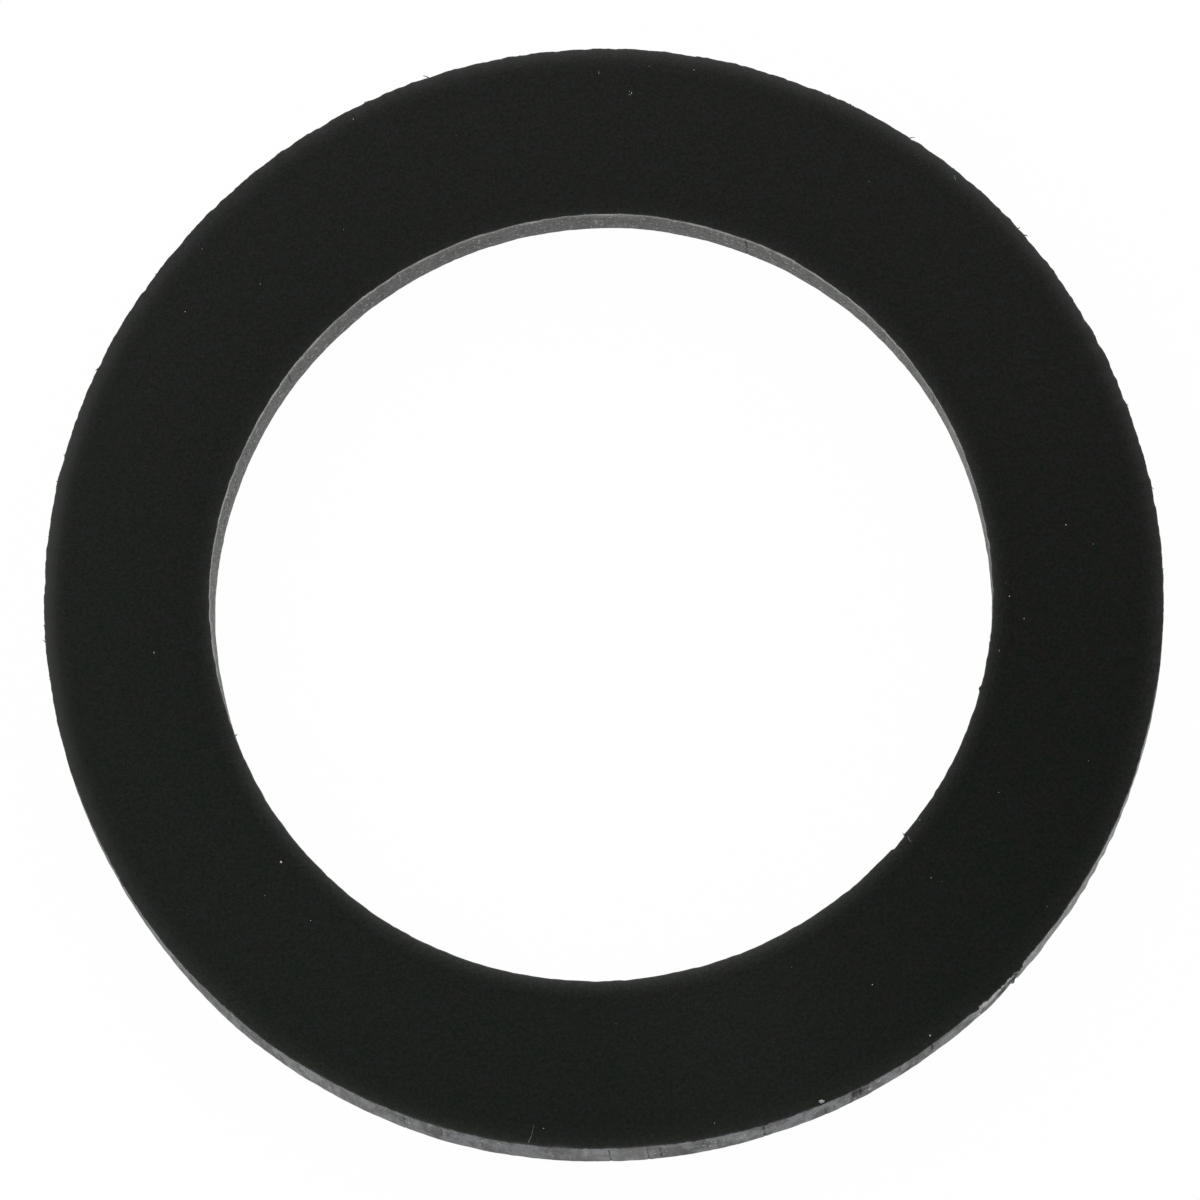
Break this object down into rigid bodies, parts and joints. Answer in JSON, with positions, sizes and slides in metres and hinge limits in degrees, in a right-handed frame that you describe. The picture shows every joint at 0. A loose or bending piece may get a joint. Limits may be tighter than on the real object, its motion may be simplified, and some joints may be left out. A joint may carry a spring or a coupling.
{
  "type": "rubber washer",
  "caption": "Flat ring of black sheet rubber that seals or cushions between two flat faces round a bolt, spigot or pipe end.",
  "frame": {"origin": "centre of the underside, on the washer's axis", "axes": "+Z is the washer's axis and points up, away from the underside; +Y points to the far side as the picture shows it, and +X to the right"},
  "size_m": [0.0476, 0.0476, 0.0032],
  "materials": {
    "rubber": "near-black sheet rubber, matt on the faces, greyer and scratched on the cut edges, with a little dust and lint"
  },
  "bodies": {
    "root": {"rubber_washer": "rubber"}
  },
  "joints": []
}
